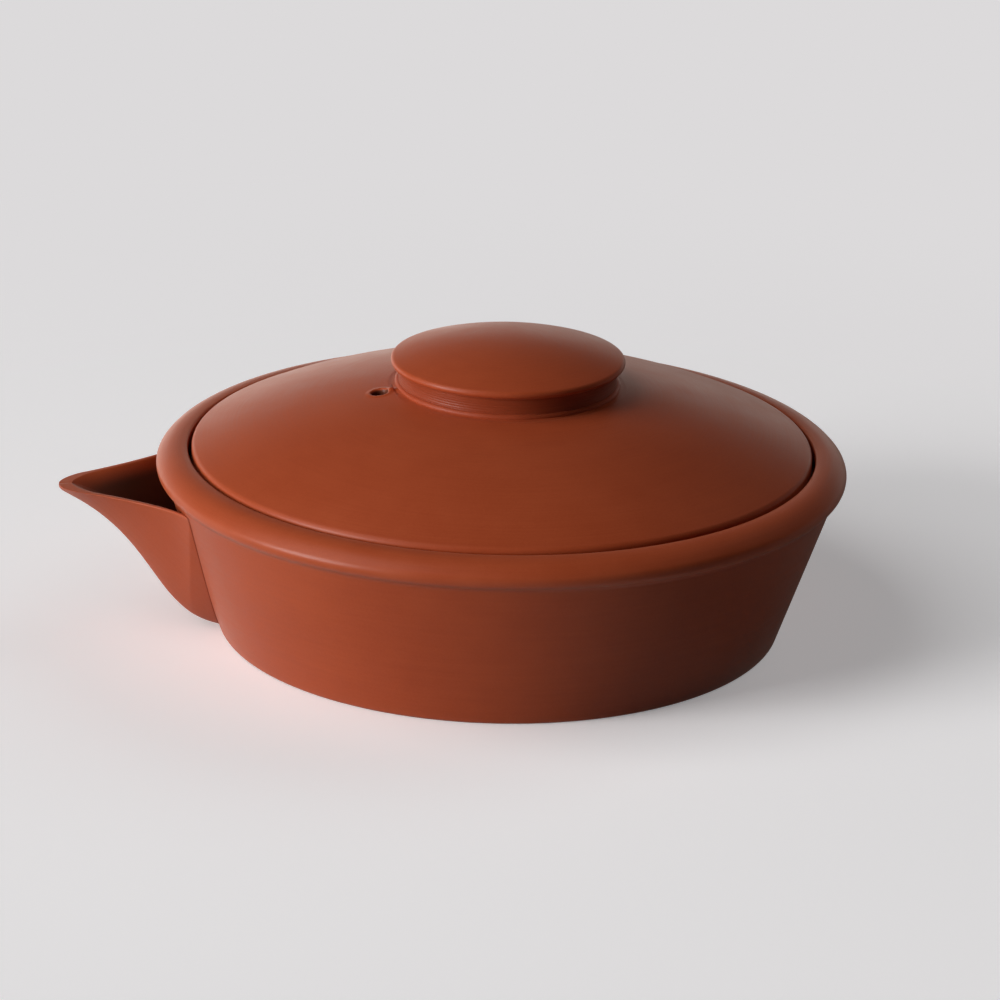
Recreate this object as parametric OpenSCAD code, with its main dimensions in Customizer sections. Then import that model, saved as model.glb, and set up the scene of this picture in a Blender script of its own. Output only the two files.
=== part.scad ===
// Handleless side-pouring teapot of unglazed red clay, with an inset domed lid.
// Millimetres. +Z is up, the origin is on the pot's axis in the plane it stands on, the spout points to -X.

/* [Bowl] */
// Diameter over the rolled rim
rim_d = 116; // [100:1:130]
// Height of the rim's inner edge
rim_h = 31; // [26:0.2:38]
// Thickness of the roll round the outside of the rim
rim_roll_d = 3; // [2.4:0.1:4]
// Depth of the roll's middle below the rim's inner edge
rim_roll_drop = 2.8; // [2.4:0.1:3.2]
// Angle by which the rim's rounded top tips inwards at its inner edge
rim_tip = 10; // [6:1:14]
// How far the roll stands out from the line of the wall
rim_proud = 0.9; // [0.5:0.1:1.2]
// Diameter of the flat base
base_d = 95; // [84:1:102]
// Thickness of the wall
wall_t = 3.2; // [2.4:0.1:4]
// Thickness of the floor
floor_t = 3.6; // [2.6:0.1:5]
// Radius of the cove between the wall and the underside of the roll
cove_r = 1; // [0.6:0.1:2]
// Radius of the edge round the base
foot_edge_r = 0.9; // [0.4:0.1:1.5]
// Radius of the inside corner between the floor and the wall
floor_corner_r = 4; // [3:0.5:8]

/* [Lid seat] */
// Depth of the seat below the rim's inner edge
seat_depth = 3.6; // [2.6:0.1:4.2]
// Distance from the outside of the rim to the side of the seat
seat_inset = 5.3; // [4.6:0.1:6]
// Width of the ledge that the lid rests on
seat_w = 3.6; // [3:0.1:6]
// Thickness of the ledge
seat_t = 3; // [2:0.1:4]
// Gap all round between the lid and the bowl
lid_gap = 0.6; // [0.3:0.05:0.9]

/* [Lid] */
// Height of the lid's edge above the seat
lid_edge_h = 4.1; // [3:0.05:5]
// Radius of the lid's upper edge
lid_edge_r = 0.9; // [0.6:0.1:1.8]
// Rise of the dome from the lid's edge to the middle
dome_h = 11.9; // [9:0.05:18]
// Thickness of the dome
lid_t = 3; // [2:0.1:4]
// Thickness of the ring that keeps the lid in place
flange_t = 2.6; // [1.8:0.1:3.6]
// Depth of that ring below the seat
flange_depth = 5.5; // [3.5:0.5:8]
// Diameter of the air hole
vent_d = 2.8; // [1.8:0.1:4]
// Clay left between the air hole and the bead round the knob
vent_margin = 0.6; // [0.3:0.1:3]
// Angle of the air hole round the lid, from the spout
vent_angle = 10; // [0:1:40]
// Diameter of the pin prick that lets steam out of the hollow knob in the kiln
prick_d = 1.6; // [1:0.1:2.5]

/* [Knob] */
// Diameter of the knob's disc
knob_d = 39.2; // [32:0.2:48]
// Height of the disc's edge above the dome at the neck
knob_rise = 4.6; // [3:0.1:7]
// Rise of the disc's domed top
knob_dome_h = 3.4; // [2:0.1:6]
// Radius of the disc's edge
knob_edge_r = 0.7; // [0.3:0.1:1.2]
// Overhang of the disc beyond the neck
knob_overhang = 1.2; // [0.6:0.1:3]
// Thickness of the hollow knob's wall
knob_t = 3; // [2:0.1:4]
// Radius of the bead of slip round the foot of the neck
bead_r = 0.75; // [0.4:0.05:1.2]

/* [Spout] */
// Reach of the tip beyond the rim
spout_reach = 16.3; // [10:0.1:22]
// Width over the spout's top edges where they meet the wall
spout_root_w = 40; // [30:0.5:44]
// How far the sides flare out, each, where they meet the wall
spout_flare = 2.2; // [0:0.1:4]
// Width across the rounded tip
spout_tip_w = 7.2; // [5:0.1:10]
// Height of the top edges at the wall, below the rim's inner edge
spout_drop = 6; // [5.5:0.1:9]
// Height of the tip below the top edges at the wall
spout_tip_drop = 0.8; // [0:0.1:4]
// Height of the keel's foot on the wall
keel_foot_h = 0.4; // [0.2:0.1:4]
// How far the keel bellies out from the foot of the wall
keel_belly = 12; // [9:0.1:14]
// How far the keel's hollow keeps back towards the wall
keel_hollow = 8.7; // [6:0.1:14]
// Depth of that hollow below the tip
keel_hollow_h = 8.7; // [6:0.1:12]
// Depth of the tip's lip
spout_lip_h = 0.9; // [0.6:0.1:1.6]
// Thickness of the sides, measured level
spout_side_t = 1.9; // [1.4:0.1:2.8]
// Thickness of the keel
spout_keel_t = 2.4; // [1.6:0.1:3.4]
// Length of the flat lip behind the tip
spout_lip_l = 2.2; // [1.4:0.1:3.5]
// Thickness of the slip between the spout and the wall
spout_slip_t = 0.4; // [0.2:0.05:0.8]
// Depth of the hairline that the slip leaves along the joint
spout_slip_recess = 0.3; // [0.1:0.05:0.6]

/* [Strainer] */
// Diameter of the pierced strainer
strainer_d = 15.6; // [12:0.2:18]
// Height of the strainer's middle
strainer_h = 13.4; // [12:0.2:15]
// How far the strainer swells into the pot
strainer_bulge = 3.4; // [2:0.1:5]
// Thickness of the strainer
strainer_t = 1.8; // [1.2:0.1:2.6]
// Diameter of the holes
strainer_hole_d = 1.1; // [0.8:0.05:1.4]
// Distance between the holes
strainer_pitch = 1.9; // [1.7:0.05:2.6]
// Thickness of the slip round the strainer
strainer_slip_t = 0.4; // [0.2:0.05:0.8]

/* [Hidden] */
$fn = 96;

clay = [0.62, 0.29, 0.20];
clay_light = [0.67, 0.33, 0.23];
slip_dark = [0.42, 0.19, 0.13];

// Length by which a cut runs past the face that it opens
cut = 1;
// Sides of the wide circles that shape the domes, and of a strainer hole
dome_fn = 720;
hole_fn = 24;
// Straight pieces in a small arc, and in each arc of the rolled rim
arc_steps = 8;
roll_steps = 24;

// Bowl, from the base up
rim_r = rim_d / 2;
base_r = base_d / 2;
roll_r = rim_roll_d / 2;
roll_centre = [rim_r - roll_r, rim_h - rim_roll_drop];
// At the height of the roll's middle the wall's line is inside the rim by what the roll stands out
wall_lean = atan((rim_r - rim_proud - base_r) / roll_centre[1]);
wall_along = [sin(wall_lean), cos(wall_lean)];
wall_out = [cos(wall_lean), -sin(wall_lean)];
wall_level_t = wall_t / cos(wall_lean);
function wall_r(z) = base_r + z * tan(wall_lean);
function wall_inside_r(z) = wall_r(z) - wall_level_t;

// The cove's circle touches the wall's line and the roll's circle
roll_from_foot = roll_centre - [base_r, 0];
roll_off_wall = roll_from_foot * wall_out;
cove_back = sqrt(pow(roll_r + cove_r, 2) - pow(cove_r - roll_off_wall, 2));
cove_on_wall = [base_r, 0] + wall_along * (roll_from_foot * wall_along - cove_back);
cove_centre = cove_on_wall + wall_out * cove_r;
cove_end_angle = atan2(roll_centre[1] - cove_centre[1], roll_centre[0] - cove_centre[0]);

// The edge round the base touches the floor line and the wall's line
foot_tangent = foot_edge_r * tan(45 - wall_lean / 2);
foot_centre = [base_r - foot_tangent, foot_edge_r];

// Seat of the lid
seat_z = rim_h - seat_depth;
seat_r = rim_r - seat_inset;
ledge_r = seat_r - seat_w;
ledge_under_z = seat_z - seat_t;
ledge_slope = (wall_inside_r(ledge_under_z) - ledge_r) / (1 + tan(wall_lean));

// The rim's crown is an arc from its inner edge to the roll's circle, which it runs into without a corner
rim_edge = [seat_r, rim_h];
rim_across = rim_edge - roll_centre;
rim_edge_out = [-sin(rim_tip), cos(rim_tip)];
crown_r = (rim_across * rim_across - roll_r * roll_r) / (2 * (rim_across * rim_edge_out - roll_r));
crown_centre = rim_edge - crown_r * rim_edge_out;
crown_angle = atan2(roll_centre[1] - crown_centre[1], roll_centre[0] - crown_centre[0]);

// Inside corner of the bowl, tangent to the floor and the wall
corner_tangent = floor_corner_r * tan(45 - wall_lean / 2);
corner_centre = [wall_inside_r(floor_t) - corner_tangent, floor_t + floor_corner_r];

// Lid
lid_r = seat_r - lid_gap;
flange_r = ledge_r - lid_gap;
flange_in_r = flange_r - flange_t;
lid_edge_z = seat_z + lid_edge_h;
dome_r = (lid_r * lid_r + dome_h * dome_h) / (2 * dome_h);
dome_centre_z = lid_edge_z + dome_h - dome_r;
function dome_z(r) = dome_centre_z + sqrt(dome_r * dome_r - r * r);
lid_edge_x = lid_r - lid_edge_r;
lid_edge_centre_z = dome_centre_z + sqrt(pow(dome_r - lid_edge_r, 2) - lid_edge_x * lid_edge_x);

// Knob
knob_r = knob_d / 2;
neck_r = knob_r - knob_overhang;
knob_edge_z = dome_z(neck_r) + knob_rise;
cap_r = (knob_r * knob_r + knob_dome_h * knob_dome_h) / (2 * knob_dome_h);
cap_centre_z = knob_edge_z + knob_dome_h - cap_r;
cap_edge_x = knob_r - knob_edge_r;
cap_edge_centre_z = cap_centre_z + sqrt(pow(cap_r - knob_edge_r, 2) - cap_edge_x * cap_edge_x);
knob_under_z = cap_edge_centre_z - knob_edge_r;
bead_out_r = neck_r + bead_r;
vent_r = bead_out_r + vent_margin + vent_d / 2;

// Spout: upright cuts across it are worked out at distances r from the pot's axis
tip_r = rim_r + spout_reach;
spout_top_z = rim_h - spout_drop;
root_half_w = spout_root_w / 2;
tip_half_w = spout_tip_w / 2;
root_r = sqrt(pow(wall_r(spout_top_z), 2) - root_half_w * root_half_w);
tip_top_z = spout_top_z - spout_tip_drop;
channel_end_r = tip_r - spout_lip_l;
// The sides spread from the tip with one power of the distance, and their flare at the wall with another
spread_power = 1.25;
flare_power = 10;
// The keel is flat over this share of the width, and the sides rise from it with a power of the distance
keel_flat_share = 0.2;
side_power = 1.2;
section_steps = 20;
keel_steps = 20;
// Where the rounding of an end stops short of a point, as a share of its length
tip_blunt = 0.99;
// Least depth of a cut across the spout
least_depth = 0.1;
keel_start = [wall_r(keel_foot_h) - wall_t, keel_foot_h];
keel_low = [wall_r(keel_foot_h) + keel_belly, keel_foot_h];
keel_rise = [wall_r(keel_foot_h) + keel_hollow, tip_top_z - keel_hollow_h];
keel_tip = [tip_r, tip_top_z - spout_lip_h];
outer_keel = [keel_start, keel_low, keel_rise, keel_tip];

// Strainer, on an axis square to the wall
strainer_r = strainer_d / 2;
strainer_wall_r = wall_r(strainer_h) - wall_level_t / 2;
strainer_shell_r = (strainer_r * strainer_r + strainer_bulge * strainer_bulge) / (2 * strainer_bulge);
strainer_shell_z = strainer_shell_r - strainer_bulge - wall_t / 2;
opening_r = strainer_r + strainer_slip_t;
// Length of a cut that goes right through the wall
through_wall = 4 * wall_t;
hole_field_r = strainer_r - strainer_t;

// Cubic curve through four control points
function bezier(p, t) =
    pow(1 - t, 3) * p[0] + 3 * t * pow(1 - t, 2) * p[1] + 3 * t * t * (1 - t) * p[2] + pow(t, 3) * p[3];

// Point of a keel at one of its steps, which come closer together towards the tip
function keel_point(keel, i) = bezier(keel, sin(90 * i / keel_steps));

// Points of an arc from angle a to angle b
function arc(centre, r, a, b, steps = arc_steps) =
    [for (i = [0:steps]) let (g = a + (b - a) * i / steps) centre + r * [cos(g), sin(g)]];

// Half the spout's width over its top edges, at a distance r from the axis
function spout_half_w(r) =
    let (share = max(0, tip_r - r) / (tip_r - root_r))
    let (spread = (root_half_w - tip_half_w - spout_flare) * pow(share, spread_power))
    tip_half_w + spread + spout_flare * pow(min(1, share), flare_power);

// Height of the spout's top edges
function spout_edge_z(r) = spout_top_z - spout_tip_drop * max(0, r - root_r) / (tip_r - root_r);

// Share of the depth at which the side stands, from the middle of the keel to the top edge
function side_rise(s) = pow(max(0, s - keel_flat_share) / (1 - keel_flat_share), side_power);

// Share of the width that is left inside the rounding of an end
function end_share(r, end_r, round_l) =
    r < end_r - round_l ? 1 : sqrt(1 - pow(min(tip_blunt, (r - end_r + round_l) / round_l), 2));

// One upright cut across the spout: y grows evenly, the height with a power of it
function spout_section(p, end_r, round_l, inset, lower) =
    let (w = (spout_half_w(p[0]) - inset) * end_share(p[0], end_r, round_l))
    let (top = spout_edge_z(p[0]) - lower)
    let (low = min(p[1], top - least_depth))
    [for (j = [0:section_steps])
        let (s = 2 * j / section_steps - 1)
        [-p[0], w * s, low + (top - low) * side_rise(abs(s))]];

// Solid through a row of closed sections with equal numbers of points
module loft(rows) {
    n = len(rows);
    m = len(rows[0]);
    sides = [
        for (i = [0:n - 2], j = [0:m - 1], half = [0, 1])
            let (a = i * m + j, b = i * m + (j + 1) % m)
            half == 0 ? [a, b + m, a + m] : [a, b, b + m]
    ];
    root_cap = [[for (j = [m - 1:-1:0]) j]];
    tip_cap = [[for (j = [0:m - 1]) (n - 1) * m + j]];
    polyhedron([for (row = rows, p = row) p], concat(sides, root_cap, tip_cap), convexity = 4);
}

// Outer form of the spout, drawn in by an inset
module spout_form(inset = 0) {
    keel = [for (p = outer_keel) p + [0, inset]];
    loft([for (i = [0:keel_steps])
        spout_section(keel_point(keel, i), tip_r, tip_half_w, inset, inset)]);
}

// Channel of the spout, carried up past the top edges
module spout_channel() {
    lift = [0, spout_keel_t];
    keel = [outer_keel[0] + lift, outer_keel[1] + lift - [spout_keel_t, 0],
        outer_keel[2] + lift - [spout_keel_t, 0], [channel_end_r, tip_top_z]];
    loft([for (i = [0:keel_steps])
        let (p = keel_point(keel, i))
        let (cut_row = spout_section(p, channel_end_r, tip_half_w, spout_side_t, 0))
        concat([cut_row[0] + [0, 0, cut]], cut_row, [cut_row[section_steps] + [0, 0, cut]])]);
}

// Half section of the bowl's outside, grown by a margin
module bowl_outline(grow = 0) {
    outline = concat(
        arc(foot_centre, foot_edge_r, -90, -wall_lean),
        arc(cove_centre, cove_r, 180 - wall_lean, cove_end_angle),
        arc(roll_centre, roll_r, cove_end_angle - 180, crown_angle, roll_steps),
        arc(crown_centre, crown_r, crown_angle, 90 + rim_tip, roll_steps)
    );
    polygon(concat([[0, 0]], [for (p = outline) p + [grow, 0]], [[0, rim_h]]));
}

// Half section of the space inside the bowl, with the seat of the lid
module bowl_space() {
    polygon(concat(
        [[0, floor_t]],
        arc(corner_centre, floor_corner_r, -90, -wall_lean),
        [
            [ledge_r + ledge_slope, ledge_under_z - ledge_slope],
            [ledge_r, ledge_under_z],
            [ledge_r, seat_z],
            [seat_r, seat_z],
            [seat_r, rim_h + cut],
            [0, rim_h + cut]
        ]
    ));
}

// Bowl before its side is opened
module thrown_bowl() {
    rotate_extrude()
        difference() {
            bowl_outline();
            bowl_space();
        }
}

// Places what sits on the strainer's axis, with local +Z towards the spout
module on_strainer_axis() {
    translate([-strainer_wall_r, 0, strainer_h])
        rotate([0, -90 - wall_lean, 0])
            children();
}

// Half section of a cap with a domed top and a rounded edge; below the rounding its side goes straight down
module domed_cap(r, edge_r, top_r, centre_z, edge_centre_z, low_z) {
    edge_x = r - edge_r;
    lean = [edge_x, edge_centre_z - centre_z];
    reach = 2 * top_r / norm(lean);
    intersection() {
        translate([0, centre_z])
            circle(top_r, $fn = dome_fn);
        polygon([[0, centre_z], [0, centre_z] + lean * reach, [0, centre_z + 2 * top_r]]);
        translate([0, low_z])
            square([r, top_r]);
    }
    translate([edge_x, edge_centre_z])
        circle(edge_r);
    translate([0, low_z])
        square([edge_x, edge_centre_z - low_z]);
    if (low_z < edge_centre_z - edge_r)
        translate([edge_x, low_z])
            square([edge_r, edge_centre_z - low_z]);
}

// Disc of the dome's sphere, less a thickness
module dome_disc(less = 0) {
    translate([0, dome_centre_z])
        circle(dome_r - less, $fn = dome_fn);
}

module bowl() {
    color(clay)
        difference() {
            thrown_bowl();
            on_strainer_axis()
                cylinder(r = opening_r, h = through_wall, center = true);
        }
}

module spout() {
    color(clay)
        difference() {
            spout_form();
            spout_channel();
            rotate_extrude()
                bowl_outline(spout_slip_t);
        }
}

module spout_slip_seam() {
    color(slip_dark)
        difference() {
            intersection() {
                spout_form(spout_slip_recess);
                rotate_extrude()
                    bowl_outline(spout_slip_t);
            }
            spout_channel();
            rotate_extrude()
                bowl_outline();
        }
}

module strainer() {
    color(clay_light)
        on_strainer_axis()
            difference() {
                rotate_extrude()
                    intersection() {
                        translate([0, strainer_shell_z])
                            difference() {
                                circle(strainer_shell_r);
                                circle(strainer_shell_r - strainer_t);
                            }
                        translate([0, -wall_t / 2 - strainer_bulge - cut])
                            square([strainer_r, wall_t + strainer_bulge + cut]);
                    }
                strainer_holes();
            }
}

// Holes in a honeycomb pattern over the strainer
module strainer_holes() {
    rows = ceil(hole_field_r / (strainer_pitch * sin(60)));
    for (i = [-rows:rows], j = [-2 * rows:2 * rows]) {
        place = strainer_pitch * [j + i / 2, i * sin(60)];
        if (norm(place) + strainer_hole_d / 2 < hole_field_r)
            translate([place[0], place[1], -wall_t / 2 - strainer_bulge - cut])
                cylinder(d = strainer_hole_d, h = wall_t + strainer_bulge + 2 * cut, $fn = hole_fn);
    }
}

module strainer_slip_ring() {
    color(slip_dark)
        intersection() {
            thrown_bowl();
            on_strainer_axis()
                difference() {
                    cylinder(r = opening_r, h = through_wall, center = true);
                    cylinder(r = strainer_r, h = through_wall + cut, center = true);
                }
        }
}

module lid() {
    color(clay)
        difference() {
            rotate_extrude()
                difference() {
                    union() {
                        domed_cap(lid_r, lid_edge_r, dome_r, dome_centre_z, lid_edge_centre_z, seat_z);
                        translate([flange_in_r, seat_z - flange_depth])
                            square([flange_t, flange_depth + cut]);
                    }
                    intersection() {
                        dome_disc(lid_t);
                        translate([0, seat_z - flange_depth - cut])
                            square([flange_in_r, dome_r]);
                    }
                }
            rotate([0, 0, vent_angle])
                translate([-vent_r, 0, seat_z])
                    cylinder(d = vent_d, h = 2 * dome_h);
            translate([0, 0, seat_z])
                cylinder(d = prick_d, h = 2 * dome_h);
        }
}

module knob() {
    color(clay)
        rotate_extrude()
            difference() {
                union() {
                    domed_cap(knob_r, knob_edge_r, cap_r, cap_centre_z, cap_edge_centre_z, knob_under_z);
                    translate([0, seat_z])
                        square([neck_r, cap_edge_centre_z - seat_z]);
                }
                dome_disc();
                intersection() {
                    translate([0, cap_centre_z])
                        circle(cap_r - knob_t, $fn = dome_fn);
                    translate([0, seat_z])
                        square([neck_r - knob_t, cap_r]);
                }
            }
}

module knob_slip_bead() {
    middle_r = neck_r + bead_r / 2;
    fall = tan(asin(middle_r / dome_r));
    low_z = dome_z(middle_r) + fall * bead_r / 2;
    high_z = dome_z(neck_r) + 2 * bead_r;
    color(slip_dark)
        rotate_extrude()
            intersection() {
                translate([neck_r, dome_z(neck_r)])
                    circle(bead_r);
                polygon([
                    [neck_r, low_z],
                    [neck_r + 2 * bead_r, low_z - fall * 2 * bead_r],
                    [neck_r + 2 * bead_r, high_z],
                    [neck_r, high_z]
                ]);
            }
}

bowl();
spout();
spout_slip_seam();
strainer();
strainer_slip_ring();
lid();
knob();
knob_slip_bead();
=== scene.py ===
"""Looks of a handleless side-pouring teapot in unglazed red clay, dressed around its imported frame.

Sizes in the classes are millimetres in the pot's own frame: +Z up, the axis of the bowl through the
origin and the spout along -X. A mesh goes to metres when it becomes a piece.
"""

import logging
import math
from dataclasses import dataclass, field, replace
from enum import Enum
from functools import reduce
from typing import Callable

import bmesh
import bpy
import numpy as np
from mathutils import Matrix, Vector


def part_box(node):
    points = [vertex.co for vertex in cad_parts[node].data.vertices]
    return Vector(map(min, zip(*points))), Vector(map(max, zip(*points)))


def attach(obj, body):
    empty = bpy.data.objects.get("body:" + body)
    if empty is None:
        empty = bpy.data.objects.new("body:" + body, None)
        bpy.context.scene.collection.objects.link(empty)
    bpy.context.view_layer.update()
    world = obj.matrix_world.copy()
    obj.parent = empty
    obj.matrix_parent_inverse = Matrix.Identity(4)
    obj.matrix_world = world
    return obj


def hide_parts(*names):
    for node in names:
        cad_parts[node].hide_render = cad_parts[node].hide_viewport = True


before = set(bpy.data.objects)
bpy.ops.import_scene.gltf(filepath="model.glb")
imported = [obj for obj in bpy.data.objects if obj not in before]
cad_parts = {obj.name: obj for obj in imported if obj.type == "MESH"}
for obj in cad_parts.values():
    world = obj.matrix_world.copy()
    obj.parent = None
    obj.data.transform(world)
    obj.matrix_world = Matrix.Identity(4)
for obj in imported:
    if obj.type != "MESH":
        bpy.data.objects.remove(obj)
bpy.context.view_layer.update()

Array = np.ndarray
Socket = bpy.types.NodeSocket
Pair = tuple[float, float]
Rgb = tuple[float, float, float]

MM = 0.001
SAME_POINT = 1e-4
LOG = logging.getLogger("teapot")


class Body(Enum):
    """What a piece rides on."""

    POT = "pot"
    LID = "lid_and_knob"


class Slot(Enum):
    """The record's material slots, each named with a piece but not given to it."""

    RED_CLAY = "red_clay"
    SLIP = "slip"


def arc(centre: Pair, radius: float, start: float, end: float, steps: int) -> Array:
    """Points of a circular arc: centre + radius (cos a, sin a), with a going evenly from start to end.

    Args:
        centre: Centre of the circle.
        radius: Its radius.
        start: First angle, in degrees.
        end: Last angle, in degrees.
        steps: Number of straight pieces.

    Returns:
        One row for each point.
    """
    angle = np.radians(np.linspace(start, end, steps + 1))
    return np.column_stack([centre[0] + radius * np.cos(angle), centre[1] + radius * np.sin(angle)])


def line(start: Pair, end: Pair, steps: int) -> Array:
    """Even points of a straight stretch, both ends among them."""
    return np.linspace(np.asarray(start, float), np.asarray(end, float), steps + 1)


def toward(start: Array, goal: Array | Pair, distance: float) -> Array:
    """Point at a distance from start on the straight way to goal."""
    way = np.asarray(goal, float) - np.asarray(start, float)
    return start + way * distance / np.linalg.norm(way, axis=-1, keepdims=True)


def bend(start: Array, corner: Array, end: Array, steps: int) -> Array:
    """Quadratic curve (1-t)^2 start + 2 t (1-t) corner + t^2 end, with t going evenly from 0 to 1."""
    t = np.linspace(0, 1, steps + 1).reshape((-1,) + (1,) * np.ndim(start))
    return (1 - t) ** 2 * start + 2 * t * (1 - t) * corner + t**2 * end


def soften(before: Pair, corner: Pair, after: Pair, radius: float, steps: int = 5) -> Array:
    """Rounds a corner between two straight stretches with a bend that starts at radius from it."""
    corner = np.asarray(corner, float)
    return bend(toward(corner, before, radius), corner, toward(corner, after, radius), steps)


def fade(value: Array, low: float, high: float) -> Array:
    """Smooth step 3 t^2 - 2 t^3, with t = (value - low) / (high - low) kept from 0 to 1."""
    t = np.clip((value - low) / (high - low), 0, 1)
    return t * t * (3 - 2 * t)


def between(value: Array, rise: Pair, fall: Pair) -> Array:
    """Smooth step up over the first pair of values times a smooth step down over the second."""
    return fade(value, *rise) * (1 - fade(value, *fall))


def bell(value: Array, width: float) -> Array:
    """Bell curve exp(-(value / width)^2)."""
    return np.exp(-(value / width) ** 2)


def round_angles(count: int) -> Array:
    """Even angles round a full circle, in radians, starting at 0."""
    return np.linspace(0, 2 * np.pi, count, endpoint=False)


def on_circle(r: Array, angle: Array, z: Array) -> Array:
    """Points (r cos angle, r sin angle, z)."""
    r, angle, z = np.broadcast_arrays(r, angle, z)
    return np.stack([r * np.cos(angle), r * np.sin(angle), z], axis=-1)


def direction(azimuth: float, elevation: float) -> Vector:
    """Unit vector at an azimuth, from -Y towards +X, and an elevation, both in degrees."""
    turn, tilt = math.radians(azimuth), math.radians(elevation)
    return Vector((math.sin(turn) * math.cos(tilt), -math.cos(turn) * math.cos(tilt), math.sin(tilt)))


def solve(gap: Callable[[Array], Array], low: Array, high: Array, halvings: int = 48) -> Array:
    """Finds where a rising function is zero, by halving the span between low and high again and again.

    Args:
        gap: The function, of whole arrays.
        low: Values at which it is below zero.
        high: Values at which it is above zero.
        halvings: Number of halvings.

    Returns:
        The values at which it is zero.
    """
    for _ in range(halvings):
        middle = (low + high) / 2
        below = gap(middle) < 0
        low = np.where(below, middle, low)
        high = np.where(below, high, middle)
    return (low + high) / 2


def border(block: Array) -> Array:
    """Entries round the border of a grid block, in order."""
    return np.concatenate([block[0, :-1], block[:-1, -1], block[-1, :0:-1], block[:0:-1, 0]])


def placed(name: str, data: bpy.types.ID) -> bpy.types.Object:
    """Puts a new object in the scene, at the origin."""
    made = bpy.data.objects.new(name, data)
    bpy.context.scene.collection.objects.link(made)
    return made


@dataclass
class Section:
    """Half section of a thrown piece: points (distance from the axis, height), with named stretches."""

    rows: list[Array] = field(default_factory=list)
    spans: dict[str, tuple[int, int]] = field(default_factory=dict)

    def run(self, stretch: Array, name: str = "") -> None:
        """Adds a stretch, without its first point where that repeats the last one.

        Args:
            stretch: Points, one a row.
            name: Name under which the rows of the stretch can be found again.
        """
        count = sum(len(r) for r in self.rows)
        repeats = bool(count) and np.linalg.norm(self.rows[-1][-1] - stretch[0]) < SAME_POINT
        self.rows.append(stretch[1:] if repeats else stretch)
        first = count - 1 if repeats else count
        if name:
            self.spans[name] = (first, first + len(stretch) - 1)

    def points(self) -> Array:
        """All the points, one a row."""
        return np.vstack(self.rows)

    def spun(self, columns: int) -> Array:
        """The section turned round the axis: points by columns."""
        points = self.points()
        return on_circle(points[:, :1], round_angles(columns), points[:, 1:])

    def edge_wear(self, reach: float = 0.9) -> Array:
        """How sharply the section turns outwards at each point, from 0 on a flat to 1 on a sharp edge.

        The turn of the outline is added up over a length of `reach` on either side and set against 90
        degrees; hollow corners count below zero, down to -1.

        Args:
            reach: Length over which the turn is added up.

        Returns:
            One row for each point.
        """
        steps = np.diff(self.points(), axis=0)
        heading = np.unwrap(np.arctan2(steps[:, 1], steps[:, 0]))
        along = np.concatenate([[0], np.cumsum(np.linalg.norm(steps, axis=1))])
        middle = (along[:-1] + along[1:]) / 2
        turn = np.interp(along + reach, middle, heading) - np.interp(along - reach, middle, heading)
        return np.clip(turn / (math.pi / 2), -1, 1)[:, None]


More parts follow.
